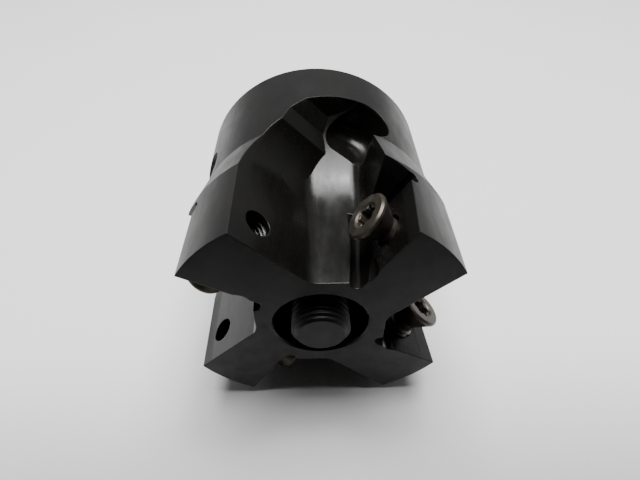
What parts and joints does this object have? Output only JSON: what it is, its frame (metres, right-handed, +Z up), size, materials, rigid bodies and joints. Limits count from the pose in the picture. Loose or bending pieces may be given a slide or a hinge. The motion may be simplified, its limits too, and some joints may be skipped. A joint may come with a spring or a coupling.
{
  "type": "face mill",
  "caption": "Indexable shell-type face mill with open insert seats, loose clamp screws and an arbor lock screw kept in its bore, lying on its side.",
  "frame": {"origin": "centre of the arbor bore in the rear mounting face", "axes": "Y along the cutter axis, the cutting face towards -Y; +Z up; X to the right as seen from the cutting face"},
  "size_m": [0.0444, 0.0464, 0.0444],
  "materials": {
    "black_oxide_steel": "satin black oxide on machined steel",
    "screw_steel": "hardened steel, dull warm grey",
    "lock_screw_steel": "black oxide on alloy steel"
  },
  "bodies": {
    "cutter": {"cutter_body": "black_oxide_steel"},
    "clamp_screw_1": {"clamp_screw_1": "screw_steel"},
    "clamp_screw_2": {"clamp_screw_2": "screw_steel"},
    "clamp_screw_3": {"clamp_screw_3": "screw_steel"},
    "clamp_screw_4": {"clamp_screw_4": "screw_steel"},
    "arbor_screw": {"arbor_screw": "lock_screw_steel"}
  },
  "joints": [
    {"name": "clamp_screw_1_turn", "type": "hinge", "parent": "cutter", "child": "clamp_screw_1", "pos_m": [0.01762, -0.03915, 0.00868], "axis": [-0.7783, 0.1045, 0.6191], "continuous": true},
    {"name": "clamp_screw_2_turn", "type": "hinge", "parent": "cutter", "child": "clamp_screw_2", "pos_m": [-0.00868, -0.03915, 0.01762], "axis": [-0.6191, 0.1045, -0.7783], "continuous": true},
    {"name": "clamp_screw_3_turn", "type": "hinge", "parent": "cutter", "child": "clamp_screw_3", "pos_m": [-0.01762, -0.03915, -0.00868], "axis": [0.7783, 0.1045, -0.6191], "continuous": true},
    {"name": "clamp_screw_4_turn", "type": "hinge", "parent": "cutter", "child": "clamp_screw_4", "pos_m": [0.00868, -0.03915, -0.01762], "axis": [0.6191, 0.1045, 0.7783], "continuous": true},
    {"name": "arbor_screw_slide", "type": "slide", "parent": "cutter", "child": "arbor_screw", "axis": [0, 1, 0], "range_m": [0, 0.036]}
  ]
}
